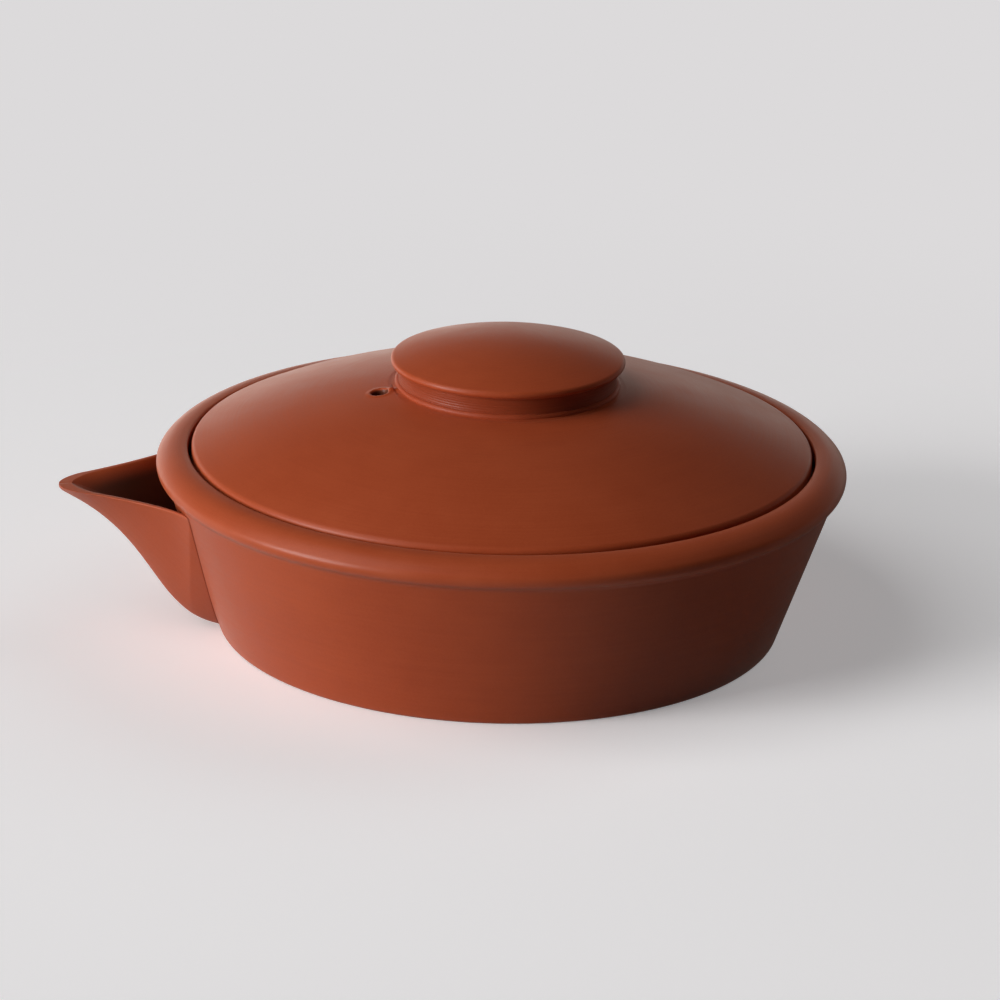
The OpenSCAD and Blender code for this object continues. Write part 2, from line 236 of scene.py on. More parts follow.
@dataclass
class Patchwork:
    """Points and faces of one piece, gathered from several grids."""

    points: list[Array] = field(default_factory=list)
    wear: list[Array] = field(default_factory=list)
    painted_shade: list[Array] = field(default_factory=list)
    faces: list[list[list[int]]] = field(default_factory=list)
    count: int = 0

    def add(self, points: Array, wear: Array | float = 0.0, painted_shade: Array | float = 0.0) -> Array:
        """Adds points.

        Args:
            points: Array whose last axis is x, y, z.
            wear: Edge wear of each point.
            painted_shade: Painted shade of each point, from 0 to 1.

        Returns:
            The points' numbers, in the points' own layout.
        """
        layout = points.shape[:-1]
        size = int(np.prod(layout))
        numbers = np.arange(self.count, self.count + size).reshape(layout)
        self.points.append(points.reshape(-1, 3))
        self.wear.append(np.broadcast_to(wear, layout).reshape(-1))
        self.painted_shade.append(np.broadcast_to(painted_shade, layout).reshape(-1))
        self.count += size
        return numbers

    def weave(self, numbers: Array, wrap: bool = False, skip: tuple[slice, slice] | None = None) -> None:
        """Adds the quads between neighbouring rows and columns of a grid.

        Args:
            numbers: Point numbers of the grid.
            wrap: Whether the last column joins the first.
            skip: Rows and columns of quads that are left out.
        """
        left = numbers if wrap else numbers[:, :-1]
        right = np.roll(numbers, -1, axis=1) if wrap else numbers[:, 1:]
        quads = np.stack([left[:-1], right[:-1], right[1:], left[1:]], axis=-1)
        keep = np.ones(quads.shape[:2], bool)
        if skip:
            keep[skip] = False
        self.faces.append(quads[keep].tolist())

    def close(self, loop: Array, pole: tuple[float, float, float]) -> None:
        """Closes a ring of points with triangles to a point on the axis."""
        number = self.add(np.asarray(pole, float).reshape(1, 3))[0]
        tip = np.full_like(loop, number)
        self.faces.append(np.stack([loop, np.roll(loop, -1), tip], axis=-1).tolist())

    def ring_patch(self, block: Array, start: Array, end: Array,
                   surface: Callable[[Array, Array], Array], rings: int) -> Array:
        """Fills a grid block with rings of points that lead in from its border to the edge of an opening.

        A ring lies at start + q (end - start) in the surface's own two coordinates, with q growing evenly
        from 0 to 1.

        Args:
            block: Point numbers of the block, whose own quads were left out.
            start: Coordinates of the border's points, one a row.
            end: Coordinates of the opening's edge, one for each point of the border.
            surface: Gives points from two coordinates.
            rings: Number of rings.

        Returns:
            Point numbers of the opening's edge.
        """
        q = np.linspace(0, 1, rings + 1)[1:, None, None]
        place = start + q * (end - start)
        numbers = self.add(surface(place[..., 0], place[..., 1]))
        self.weave(np.vstack([border(block), numbers]), wrap=True)
        return numbers[-1]

    def piece(self, name: str, material: bpy.types.Material, body: Body, slot: Slot,
              nodes: list[str], smooth: bool = True) -> None:
        """Makes the piece, at the origin, and ties it to the frame.

        Args:
            name: Name of the piece.
            material: Its finish.
            body: What it rides on.
            slot: Material slot of the record; not used.
            nodes: Nodes that it stands for.
            smooth: Whether its faces are shaded as one round skin.
        """
        mesh = bpy.data.meshes.new(name)
        faces = [face for block in self.faces for face in block]
        mesh.from_pydata((np.concatenate(self.points) * MM).tolist(), [], faces)
        # The painted_shade layer holds painted shade, which the clay's material turns into a darker tone.
        for layer, values in (("edge", self.wear), ("painted_shade", self.painted_shade)):
            mesh.attributes.new(layer, "FLOAT", "POINT").data.foreach_set("value", np.concatenate(values))
        turn_outwards(mesh)
        mesh.polygons.foreach_set("use_smooth", np.full(len(mesh.polygons), smooth))
        mesh.materials.append(material)
        piece = placed(name, mesh)
        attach(piece, body.value)
        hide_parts(*nodes)
        LOG.info("%s: %d points, %d faces", name, len(mesh.vertices), len(mesh.polygons))


def turn_outwards(mesh: bpy.types.Mesh) -> None:
    """Turns the faces of a closed mesh outwards.

    Args:
        mesh: The mesh, changed in place.
    """
    shape = bmesh.new()
    shape.from_mesh(mesh)
    bmesh.ops.recalc_face_normals(shape, faces=shape.faces[:])
    shape.to_mesh(mesh)
    shape.free()


class Bench:
    """A node tree with short ways to add and join nodes."""

    def __init__(self, tree: bpy.types.NodeTree) -> None:
        """Starts on an emptied tree."""
        self.tree = tree
        tree.nodes.clear()

    def node(self, kind: str, inputs: dict[str | int, object] | None = None,
             **settings: object) -> bpy.types.Node:
        """Adds a node.

        Args:
            kind: Node type, without its leading words.
            inputs: Socket values, or sockets to join to.
            settings: Properties of the node.

        Returns:
            The node.
        """
        made = self.tree.nodes.new("ShaderNode" + kind)
        for key, value in settings.items():
            setattr(made, key, value)
        for key, value in (inputs or {}).items():
            if isinstance(value, bpy.types.NodeSocket):
                self.tree.links.new(value, made.inputs[key])
            else:
                made.inputs[key].default_value = value
        return made

    def math(self, operation: str, a: object, b: object = 0.0, clamp: bool = False) -> Socket:
        """Result of a sum or other operation on two numbers or sockets."""
        return self.node("Math", {0: a, 1: b}, operation=operation, use_clamp=clamp).outputs[0]

    def total(self, *values: Socket | float) -> Socket:
        """Sum of several values."""
        return reduce(lambda a, b: self.math("ADD", a, b), values)

    def noise(self, vector: Socket, scale: float, detail: float = 3.0, roughness: float = 0.55) -> Socket:
        """Even noise from 0 to 1, in cells of 1 / scale."""
        inputs = {"Vector": vector, "Scale": scale, "Detail": detail, "Roughness": roughness}
        return self.node("TexNoise", inputs).outputs["Fac"]

    def ramp(self, value: Socket, goal: tuple, source: Pair = (0.0, 1.0), smooth: bool = False) -> Socket:
        """Moves a value from one range onto another, evenly or with a smooth step, and keeps it there."""
        inputs = {"Value": value, "From Min": source[0], "From Max": source[1],
                  "To Min": goal[0], "To Max": goal[1]}
        kind = "SMOOTHSTEP" if smooth else "LINEAR"
        return self.node("MapRange", inputs, interpolation_type=kind).outputs["Result"]

    def swing(self, value: Socket, reach: float) -> Socket:
        """Moves the middle half of noise onto -reach to reach."""
        return self.ramp(value, (-reach, reach), (0.25, 0.75))

    def blend(self, share: Socket, first: object, second: object) -> Socket:
        """Colour that goes from first to second with the share."""
        inputs = {"Factor": share, "A": first, "B": second}
        return self.node("Mix", inputs, data_type="RGBA").outputs["Result"]

    def parts(self, vector: Socket) -> list[Socket]:
        """The x, y and z of a vector."""
        return list(self.node("SeparateXYZ", {0: vector}).outputs)

    def length(self, vector: Socket) -> Socket:
        """Length of a vector."""
        return self.node("VectorMath", {0: vector}, operation="LENGTH").outputs["Value"]

    def layer(self, name: str) -> Socket:
        """Value that the points of a mesh carry under a name."""
        return self.node("Attribute", attribute_name=name).outputs["Fac"]


def rgba(colour: Rgb) -> tuple[float, float, float, float]:
    """Colour with full cover."""
    return (*colour, 1.0)


@dataclass(frozen=True)
class Clay:
    """Fired unglazed clay: two tones that drift into each other, a fine grain, and lines from the wheel.

    Attributes:
        name: Name of the material.
        dark: Darker tone.
        light: Lighter tone.
        worn: Tone of rubbed edges.
        roughness: Middle roughness.
        drift: How far the tone drifts over the piece.
        grain: How far it varies from grain to grain.
        lines: How strongly the turning lines show.
        bump: Height of the grain and of the lines, in millimetres.
        painted_shade_tone: Dark tone of a full painted shade.
        uneven: How far the roughness drifts.
        polish: How much smoother a rubbed edge is.
        least_wear: Share added to the patches in which edges are rubbed.
        grain_height: Height of the grain against the lines.
        gloss: Strength of the mirrored light.
        ior: Index of refraction behind it.
        sheen: Strength of the soft light along the outline.
        sheen_roughness: How far that light spreads.
        sheen_tone: Its colour.
        cloud_scale: Clouds of tone to a metre.
        patch_scale: Smaller patches to a metre.
        grain_scale: Grains to a metre.
        line_scale: Turning lines to a metre.
        line_drift: How fast a line changes on its way round.
    """

    name: str
    dark: Rgb
    light: Rgb
    worn: Rgb
    roughness: float
    drift: float = 0.35
    grain: float = 0.22
    lines: float = 0.25
    bump: float = 0.012
    painted_shade_tone: Rgb = (0.065, 0.025, 0.014)
    uneven: float = 0.03
    polish: float = 0.08
    least_wear: float = 0.1
    grain_height: float = 0.5
    gloss: float = 0.24
    ior: float = 1.5
    sheen: float = 0.06
    sheen_roughness: float = 0.35
    sheen_tone: Rgb = (1.0, 0.62, 0.48)
    cloud_scale: float = 38.0
    patch_scale: float = 190.0
    grain_scale: float = 2600.0
    line_scale: float = 1900.0
    line_drift: float = 2.2

    def material(self) -> bpy.types.Material:
        """Makes the material, or finds the one made before: tones mixed by noise, then wear, then painted
        shade.

        Returns:
            The material.
        """
        made = bpy.data.materials.get(self.name)
        if made:
            return made
        made = bpy.data.materials.new(self.name)
        made.use_nodes = True
        bench = Bench(made.node_tree)
        place = bench.node("TexCoord").outputs["Object"]
        cloud = bench.noise(place, self.cloud_scale)
        patch = bench.noise(place, self.patch_scale)
        grain = bench.noise(place, self.grain_scale, detail=2.0)
        turned = self.turned_lines(bench, place)
        drifts = ((cloud, self.drift), (patch, self.drift / 2), (grain, self.grain), (turned, self.lines))
        drift = bench.total(*(bench.swing(value, reach) for value, reach in drifts))
        tone = bench.math("ADD", drift, 0.5, clamp=True)
        colour = bench.blend(tone, rgba(self.dark), rgba(self.light))
        spots = bench.math("ADD", patch, self.least_wear)
        rubbed = bench.math("MULTIPLY", bench.layer("edge"), spots, clamp=True)
        colour = bench.blend(rubbed, colour, rgba(self.worn))
        # Painted shade: the colour goes towards a dark tone where the painted_shade layer is set, that is
        # under the knob's disc, in the spout's channel and in the air hole.
        colour = bench.blend(bench.layer("painted_shade"), colour, rgba(self.painted_shade_tone))
        roughness = bench.total(self.roughness, bench.swing(patch, self.uneven),
                                bench.swing(turned, self.uneven),
                                bench.math("MULTIPLY", rubbed, -self.polish))
        height = bench.math("ADD", bench.math("MULTIPLY", grain, self.grain_height), turned)
        bump = bench.node("Bump", {"Height": height, "Strength": 1.0, "Distance": self.bump * MM})
        shader = bench.node("BsdfPrincipled", {
            "Base Color": colour, "Roughness": roughness, "Specular IOR Level": self.gloss,
            "IOR": self.ior, "Sheen Weight": self.sheen, "Sheen Roughness": self.sheen_roughness,
            "Sheen Tint": rgba(self.sheen_tone), "Normal": bump.outputs["Normal"]})
        bench.node("OutputMaterial", {"Surface": shader.outputs["BSDF"]})
        return made

    def turned_lines(self, bench: Bench, place: Socket) -> Socket:
        """Noise that runs round the axis: fine steps along r - z, slow drift with (x, y) / r.

        Args:
            bench: The node tree.
            place: Place on the piece.

        Returns:
            The noise, from 0 to 1.
        """
        x, y, z = bench.parts(place)
        flat = bench.node("CombineXYZ", {0: x, 1: y}).outputs[0]
        way = bench.node("VectorMath", {0: flat}, operation="NORMALIZE").outputs["Vector"]
        along = bench.math("SUBTRACT", bench.length(flat), z)
        steps = bench.math("MULTIPLY", along, self.line_scale)
        drift = [bench.math("MULTIPLY", part, self.line_drift) for part in bench.parts(way)[:2]]
        spread = bench.node("CombineXYZ", {0: steps, 1: drift[0], 2: drift[1]}).outputs[0]
        return bench.noise(spread, 1.0)


BURNISHED = Clay("burnished_red_clay", dark=(0.365, 0.058, 0.017), light=(0.425, 0.075, 0.024),
                 worn=(0.45, 0.092, 0.036), roughness=0.4)
FOLDED = replace(BURNISHED, name="folded_red_clay", worn=(0.47, 0.100, 0.040), roughness=0.47, lines=0.0)
# The turned clay's dark tone is the colour of the painted shade on the knob's neck.
TURNED = replace(BURNISHED, name="turned_red_clay", painted_shade_tone=(0.12, 0.012, 0.003))
RAW = Clay("raw_red_clay", dark=(0.33, 0.056, 0.022), light=(0.41, 0.076, 0.034),
           worn=(0.44, 0.10, 0.05), roughness=0.62, lines=0.0, bump=0.03)
SLIP = Clay("dark_slip", dark=(0.21, 0.032, 0.011), light=(0.27, 0.042, 0.015),
            worn=(0.29, 0.05, 0.02), roughness=0.6, lines=0.0)
LUTING = Clay("luting_slip", dark=(0.32, 0.050, 0.016), light=(0.39, 0.065, 0.022),
              worn=(0.44, 0.085, 0.035), roughness=0.48, lines=0.0)


@dataclass
class Bowl:
    """The thrown bowl: flat base, leaning wall, rolled rim, lid seat and the opening behind the spout."""

    columns: int = 288
    base_r: float = 47.5
    rim_h: float = 31.0
    roll_r: float = 1.5
    roll_drop: float = 2.8
    rim_tip: float = 10.0
    rim_proud: float = 0.9
    rim_edge_r: float = 0.4
    wall_t: float = 3.2
    floor_t: float = 3.6
    cove_r: float = 2.2
    foot_edge_r: float = 0.9
    floor_corner_r: float = 4.0
    seat_depth: float = 3.6
    seat_inset: float = 5.3
    seat_w: float = 3.6
    seat_t: float = 3.0
    soft_r: float = 0.4
    opening_r: float = 8.2
    opening_h: float = 13.4
    opening_search: float = 8.0
    patch_outside: Pair = (-9.4, 8.7)
    patch_inside: Pair = (-8.7, 9.1)
    patch_rings: int = 12
    patch_rows: int = 44
    patch_half_columns: int = 10
    axis_gap: float = 0.6
    ridge: float = 0.06
    ridge_pitch: float = 4.2
    wall_ridge_in: Pair = (7.0, 9.5)
    wall_ridge_out: Pair = (18.5, 21.5)
    floor_ridge_in: Pair = (1.0, 5.0)
    floor_ridge_out: Pair = (36.0, 41.0)
    base_steps: int = 36
    low_wall_steps: int = 6
    high_wall_steps: int = 4
    edge_steps: int = 8
    cove_steps: int = 10
    roll_steps: int = 30
    crown_steps: int = 26
    floor_steps: int = 48

    def __post_init__(self) -> None:
        """Works out the section's corners and circles from the sizes and the frame."""
        self.rim_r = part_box("bowl")[1].x / MM
        self.roll_centre = np.array([self.rim_r - self.roll_r, self.rim_h - self.roll_drop])
        self.lean = math.atan((self.rim_r - self.rim_proud - self.base_r) / self.roll_centre[1])
        self.up = np.array([math.sin(self.lean), math.cos(self.lean)])
        self.out = np.array([math.cos(self.lean), -math.sin(self.lean)])
        foot = np.array([self.base_r, 0.0])
        to_roll = self.roll_centre - foot
        back = math.sqrt((self.roll_r + self.cove_r) ** 2 - (self.cove_r - to_roll @ self.out) ** 2)
        self.cove_on_wall = foot + self.up * (to_roll @ self.up - back)
        self.cove_centre = self.cove_on_wall + self.out * self.cove_r
        to_cove = self.roll_centre - self.cove_centre
        self.cove_end = math.degrees(math.atan2(to_cove[1], to_cove[0]))
        tangent = math.tan(math.pi / 4 - self.lean / 2)
        self.foot_centre = np.array([self.base_r - self.foot_edge_r * tangent, self.foot_edge_r])
        self.seat_z = self.rim_h - self.seat_depth
        self.seat_r = self.rim_r - self.seat_inset
        self.rim_edge = np.array([self.seat_r, self.rim_h])
        across = self.rim_edge - self.roll_centre
        tip = math.radians(self.rim_tip)
        edge_out = np.array([-math.sin(tip), math.cos(tip)])
        self.crown_r = (across @ across - self.roll_r**2) / (2 * (across @ edge_out - self.roll_r))
        self.crown_centre = self.rim_edge - self.crown_r * edge_out
        to_roll_middle = self.roll_centre - self.crown_centre
        self.crown_start = math.degrees(math.atan2(to_roll_middle[1], to_roll_middle[0]))
        self.ledge_r = self.seat_r - self.seat_w
        self.ledge_under_z = self.seat_z - self.seat_t
        self.level_t = self.wall_t / math.cos(self.lean)
        reach = self.wall_r(self.ledge_under_z) - self.level_t - self.ledge_r
        self.slope_z = self.ledge_under_z - reach / (1 + math.tan(self.lean))
        self.corner_z = self.floor_t + self.floor_corner_r
        self.corner_r = self.wall_r(self.floor_t) - self.level_t - self.floor_corner_r * tangent
        self.corner_end_z = self.corner_z - self.floor_corner_r * math.sin(self.lean)

    def wall_r(self, z: Array | float) -> Array | float:
        """Outside of the straight wall at a height: base radius + z tan(lean)."""
        return self.base_r + z * math.tan(self.lean)

    def outline_r(self, z: Array) -> Array:
        """Outside of the wall, and of the hollow quarter circle that leads from it to the roll."""
        cove_dz = np.clip(z - self.cove_centre[1], -self.cove_r, self.cove_r)
        cove = self.cove_centre[0] - np.sqrt(self.cove_r**2 - cove_dz**2)
        return np.where(z < self.cove_on_wall[1], self.wall_r(z), cove)

    def inside_r(self, z: Array | float) -> Array:
        """Inside of the bowl: a circle above the floor, then the wall, then the slope under the ledge.

        Args:
            z: Heights.

        Returns:
            Distances from the axis.
        """
        corner_dz = np.clip(z - self.corner_z, -self.floor_corner_r, self.floor_corner_r)
        corner = self.corner_r + np.sqrt(self.floor_corner_r**2 - corner_dz**2)
        wall = self.wall_r(z) - self.level_t
        slope = self.wall_r(self.slope_z) - self.level_t - (z - self.slope_z)
        return np.where(z < self.corner_end_z, corner, np.where(z < self.slope_z, wall, slope))

    def wall_point(self, z: Array, angle: Array) -> Array:
        """Outside of the wall."""
        return on_circle(self.wall_r(z), angle, z)

    def inside_point(self, z: Array, angle: Array) -> Array:
        """Inside of the wall, with the low spiral ridge of throwing: a sine of height and angle."""
        wave = np.sin(2 * np.pi * z / self.ridge_pitch + angle)
        ridge = self.ridge * between(z, self.wall_ridge_in, self.wall_ridge_out) * wave
        return on_circle(self.inside_r(z) + ridge, angle, z)

    def floor_point(self, r: Array, angle: Array) -> Array:
        """Floor of the bowl, with the spiral ridge of throwing: a sine of radius and angle."""
        wave = np.sin(2 * np.pi * r / self.ridge_pitch - angle) - 1
        ridge = self.ridge * between(r, self.floor_ridge_in, self.floor_ridge_out) * wave
        return on_circle(r, angle, self.floor_t + ridge)

    def wall_line(self, low: float, high: float, steps: int) -> Array:
        """Section of the outside of the wall between two heights."""
        return line((self.wall_r(low), low), (self.wall_r(high), high), steps)

    def section(self) -> Section:
        """Half section, from the middle of the base out, up, over the rim and back to the floor's middle.

        Returns:
            The section, with the stretches outside, inside and floor.
        """
        lean = math.degrees(self.lean)
        seat_corner, ledge_top = (self.seat_r, self.seat_z), (self.ledge_r, self.seat_z)
        ledge_low = (self.ledge_r, self.ledge_under_z)
        low, high = (self.opening_h + step for step in self.patch_outside)
        inside_low, inside_high = (self.opening_h + step for step in self.patch_inside)
        slope_top = (self.inside_r(inside_high), inside_high)
        start_z = self.foot_centre[1] - self.foot_edge_r * math.sin(self.lean)
        crown_end = 90 + self.rim_tip - math.degrees(self.rim_edge_r / self.crown_r)
        crown = arc(self.crown_centre, self.crown_r, self.crown_start, crown_end, self.crown_steps)
        section = Section()
        section.run(line((self.axis_gap, 0), (self.foot_centre[0], 0), self.base_steps))
        section.run(arc(self.foot_centre, self.foot_edge_r, -90, -lean, self.edge_steps))
        section.run(self.wall_line(start_z, low, self.low_wall_steps))
        section.run(self.wall_line(low, high, self.patch_rows), "outside")
        section.run(self.wall_line(high, self.cove_on_wall[1], self.high_wall_steps))
        section.run(arc(self.cove_centre, self.cove_r, 180 - lean, self.cove_end, self.cove_steps))
        section.run(arc(self.roll_centre, self.roll_r, self.cove_end - 180, self.crown_start,
                        self.roll_steps))
        section.run(crown)
        section.run(soften(crown[-1], self.rim_edge, seat_corner, self.rim_edge_r, self.edge_steps))
        section.run(soften(self.rim_edge, seat_corner, ledge_top, self.soft_r))
        section.run(soften(seat_corner, ledge_top, ledge_low, self.soft_r))
        section.run(soften(ledge_top, ledge_low, slope_top, self.soft_r))
        z = np.linspace(inside_high, inside_low, self.patch_rows + 1)
        section.run(np.column_stack([self.inside_r(z), z]), "inside")
        turn = math.degrees(math.asin((inside_low - self.corner_z) / self.floor_corner_r))
        section.run(arc((self.corner_r, self.corner_z), self.floor_corner_r, turn, -90, self.edge_steps))
        floor = line((self.corner_r, self.floor_t), (self.axis_gap, self.floor_t), self.floor_steps)
        section.run(floor, "floor")
        return section

    def opening_edge(self, radius_at: Callable[[Array], Array], turn: Array) -> Array:
        """Edge of the round opening on a face of the wall, as (height, angle from -X).

        The opening's axis is square to the wall. Its edge at turn t is centre + radius (cos t across,
        sin t up the wall), carried along the axis until it meets the face.

        Args:
            radius_at: Distance of the face from the pot's axis, at a height.
            turn: Angles round the opening.

        Returns:
            One row for each angle.
        """
        start = np.array([self.wall_r(self.opening_h) - self.level_t / 2, self.opening_h])
        r, z = start[:, None] + self.opening_r * np.sin(turn) * self.up[:, None]
        y = self.opening_r * np.cos(turn)

        def gap(t: Array) -> Array:
            """How far the carried point is outside the face."""
            return np.hypot(r + t * self.out[0], y) - radius_at(z + t * self.out[1])

        reach = np.full_like(turn, self.opening_search)
        t = solve(gap, -reach, reach)
        return np.column_stack([z + t * self.out[1], np.arctan2(y, r + t * self.out[0])])

    def build(self) -> None:
        """Makes the bowl: the section spun round the axis, and the wall opened behind the spout."""
        section = self.section()
        points, angle = section.points(), round_angles(self.columns)
        grid = section.spun(self.columns)
        outer, inner, floor = (section.spans[n] for n in ("outside", "inside", "floor"))
        inner_rows, floor_rows = (slice(a, b + 1) for a, b in (inner, floor))
        grid[inner_rows] = self.inside_point(points[inner_rows, 1:], angle)
        grid[floor_rows] = self.floor_point(points[floor_rows, :1], angle)
        work = Patchwork()
        numbers = work.add(grid, section.edge_wear())
        middle = self.columns // 2
        columns = slice(middle - self.patch_half_columns, middle + self.patch_half_columns)
        work.weave(numbers[:inner[0] + 1], True, (slice(*outer), columns))
        work.weave(numbers[inner[0]:], True, (slice(0, inner[1] - inner[0]), columns))
        work.close(numbers[0], (0, 0, 0))
        work.close(numbers[-1], (0, 0, self.floor_t))
        edges = []
        faces = ((outer, self.wall_r, self.wall_point), (inner, self.inside_r, self.inside_point))
        for (first, last), radius_at, surface in faces:
            block = (slice(first, last + 1), slice(columns.start, columns.stop + 1))
            place = border(grid[block])
            start = np.column_stack([place[:, 2], np.arctan2(place[:, 1], -place[:, 0])])
            turn = np.arctan2(start[:, 0] - self.opening_h, start[:, 1] * self.wall_r(self.opening_h))
            end = self.opening_edge(radius_at, turn)
            edges.append(work.ring_patch(numbers[block], start, end,
                                         lambda z, a, s=surface: s(z, np.pi - a), self.patch_rings))
        work.weave(self.opening_sleeve(work, edges[0], edges[1][::-1]), wrap=True)
        work.piece("bowl_body", BURNISHED.material(), Body.POT, Slot.RED_CLAY, ["bowl"])

    def opening_sleeve(self, work: Patchwork, outer: Array, inner: Array) -> Array:
        """Turns the inner edge's loop to start nearest the outer's first point, and stacks the two."""
        places = np.concatenate(work.points)
        gap = np.linalg.norm(places[inner] - places[outer[0]], axis=1)
        return np.vstack([outer, np.roll(inner, -int(np.argmin(gap)))])


@dataclass
class Lid:
    """The loose lid: a dome with a rounded edge, a ring below, an air hole and a pin prick under the knob."""

    bowl: Bowl
    columns: int = 288
    edge_h: float = 4.1
    edge_r: float = 1.1
    lid_t: float = 3.0
    flange_t: float = 2.6
    lid_gap: float = 0.6
    prick_r: float = 0.8
    vent_r: float = 1.4
    vent_at: float = 21.15
    vent_angle: float = 10.0
    vent_round: float = 0.3
    # Painted shade on the air hole's wall.
    vent_painted_shade: float = 0.8
    soft_r: float = 0.4
    knob_shift: float = 0.7
    groove_r: float = 19.3
    groove_w: float = 0.22
    groove_depth: float = 0.16
    lip_h: float = 0.1
    lip_w: float = 0.4
    lip_off: float = 0.45
    smear_h: float = 0.34
    smear_w: float = 0.62
    smear_in: Pair = (0.2, 1.3)
    smear_out: Pair = (2.2, 3.4)
    ridge: float = 0.05
    ridge_pitch: float = 3.1
    ridge_in: Pair = (2.0, 6.0)
    ridge_out: Pair = (38.0, 44.0)
    patch_near: float = 2.9
    patch_far: float = 3.2
    patch_rings: int = 18
    detail_r: float = 42.0
    detail_rows: int = 96
    shoulder_rows: int = 26
    edge_steps: int = 12
    flange_steps: int = 6
    inside_rows: int = 8

    def __post_init__(self) -> None:
        """Works out the dome and the ring from the frame."""
        low, high = (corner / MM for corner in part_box("lid"))
        self.lid_r, self.top_z, self.low_z = high.x, high.z, low.z
        self.seat_z = self.bowl.seat_z
        rise = self.top_z - self.seat_z - self.edge_h
        self.dome_r = (self.lid_r**2 + rise**2) / (2 * rise)
        self.dome_centre_z = self.top_z - self.dome_r
        self.flange_r = self.bowl.ledge_r - self.lid_gap
        self.flange_in_r = self.flange_r - self.flange_t
        angle = math.radians(180 + self.vent_angle)
        self.vent = self.vent_at * np.array([math.cos(angle), math.sin(angle)])

    def dome_z(self, r: Array | float, less: float = 0.0) -> Array | float:
        """Height of the dome's sphere, or of one that is thinner by less."""
        return self.dome_centre_z + np.sqrt((self.dome_r - less) ** 2 - r**2)

    def dome_line(self, r: Array, less: float = 0.0) -> Array:
        """Section of that sphere at distances from the axis."""
        return np.column_stack([r, self.dome_z(r, less)])

    def top_point(self, x: Array, y: Array) -> Array:
        """Top of the dome, with a groove round the knob, a lip round the air hole and a smear of slip by it.

        The groove and the lip are bell curves of the distance from their circles; the smear is a bell
        curve across the line from the air hole to the knob's neck, faded at both ends. The hole's edge is
        a quarter round.

        Args:
            x: Places along X.
            y: Places along Y.

        Returns:
            The points.
        """
        round_knob = np.hypot(x - self.knob_shift, y)
        groove = -self.groove_depth * bell(round_knob - self.groove_r, self.groove_w)
        along = -(x * self.vent[0] + y * self.vent[1]) / self.vent_at + self.vent_at
        across = (x * self.vent[1] - y * self.vent[0]) / self.vent_at
        smear = self.smear_h * bell(across, self.smear_w) * between(along, self.smear_in, self.smear_out)
        off = np.hypot(x - self.vent[0], y - self.vent[1])
        lip = self.lip_h * bell(off - self.vent_r - self.lip_off, self.lip_w)
        deep = np.clip((self.vent_r + self.vent_round - off) / self.vent_round, 0, 1)
        rounded = self.vent_round * (1 - np.sqrt(1 - deep**2))
        return np.stack([x, y, self.dome_z(np.hypot(x, y)) + groove + smear + lip - rounded], axis=-1)

    def under_point(self, x: Array, y: Array) -> Array:
        """Underside of the dome, with spiral turning ridges: a sine of radius and angle."""
        r = np.hypot(x, y)
        wave = np.sin(2 * np.pi * r / self.ridge_pitch + np.arctan2(y, x))
        ridge = self.ridge * between(r, self.ridge_in, self.ridge_out) * wave
        return np.stack([x, y, self.dome_z(r, self.lid_t) + ridge], axis=-1)

    def section(self) -> Section:
        """Half section, from the prick out over the dome, round the edge, down to the ring and back inside.

        Returns:
            The section, with the stretches top and under.
        """
        edge_x = self.lid_r - self.edge_r
        edge_z = self.dome_z(edge_x, self.edge_r)
        tangent = math.atan2(edge_z - self.dome_centre_z, edge_x)
        corners = [(self.lid_r, edge_z), (self.lid_r, self.seat_z), (self.flange_r, self.seat_z),
                   (self.flange_r, self.low_z), (self.flange_in_r, self.low_z),
                   (self.flange_in_r, self.dome_z(self.flange_in_r, self.lid_t))]
        r = np.linspace(self.prick_r, self.detail_r, self.detail_rows)
        shoulder = np.linspace(self.detail_r, self.dome_r * math.cos(tangent), self.shoulder_rows)
        inside = np.linspace(self.flange_in_r, self.detail_r, self.inside_rows)
        section = Section()
        section.run(self.dome_line(r), "top")
        section.run(self.dome_line(shoulder))
        section.run(arc((edge_x, edge_z), self.edge_r, math.degrees(tangent), 0, self.edge_steps))
        for before, corner, after in zip(corners, corners[1:], corners[2:]):
            section.run(soften(before, corner, after, self.soft_r))
        section.run(line(section.rows[-1][-1], corners[-1], self.flange_steps))
        section.run(self.dome_line(inside, self.lid_t))
        section.run(self.dome_line(r[::-1], self.lid_t), "under")
        return section

    def build(self) -> None:
        """Makes the lid: the section spun round the axis, with the air hole let into both faces."""
        section = self.section()
        grid = section.spun(self.columns)
        top, under = section.spans["top"], section.spans["under"]
        for (first, last), surface in ((top, self.top_point), (under, self.under_point)):
            rows = slice(first, last + 1)
            grid[rows] = surface(grid[rows, :, 0], grid[rows, :, 1])
        work = Patchwork()
        numbers = work.add(grid, section.edge_wear())
        reach = [self.vent_at - self.patch_near, self.vent_at + self.patch_far]
        near, far = np.searchsorted(section.points()[top[0]:top[1], 0], reach)
        middle = round(self.columns * (180 + self.vent_angle) / 360)
        half = round(self.columns * self.patch_far / self.vent_at / (2 * math.pi))
        columns = slice(middle - half, middle + half)
        low, high = under[1] - far, under[1] - near
        work.weave(numbers[:under[0] + 1], True, (slice(near, far), columns))
        work.weave(numbers[under[0]:], True, (slice(low - under[0], high - under[0]), columns))
        work.weave(np.vstack([numbers[-1], numbers[0]]), True)
        edges = []
        for first, last, surface in ((near, far, self.top_point), (low, high, self.under_point)):
            block = (slice(first, last + 1), slice(columns.start, columns.stop + 1))
            start = border(grid[block])[:, :2]
            turn = np.arctan2(start[:, 1] - self.vent[1], start[:, 0] - self.vent[0])
            end = self.vent + self.vent_r * np.column_stack([np.cos(turn), np.sin(turn)])
            edges.append(work.ring_patch(numbers[block], start, end, surface, self.patch_rings))
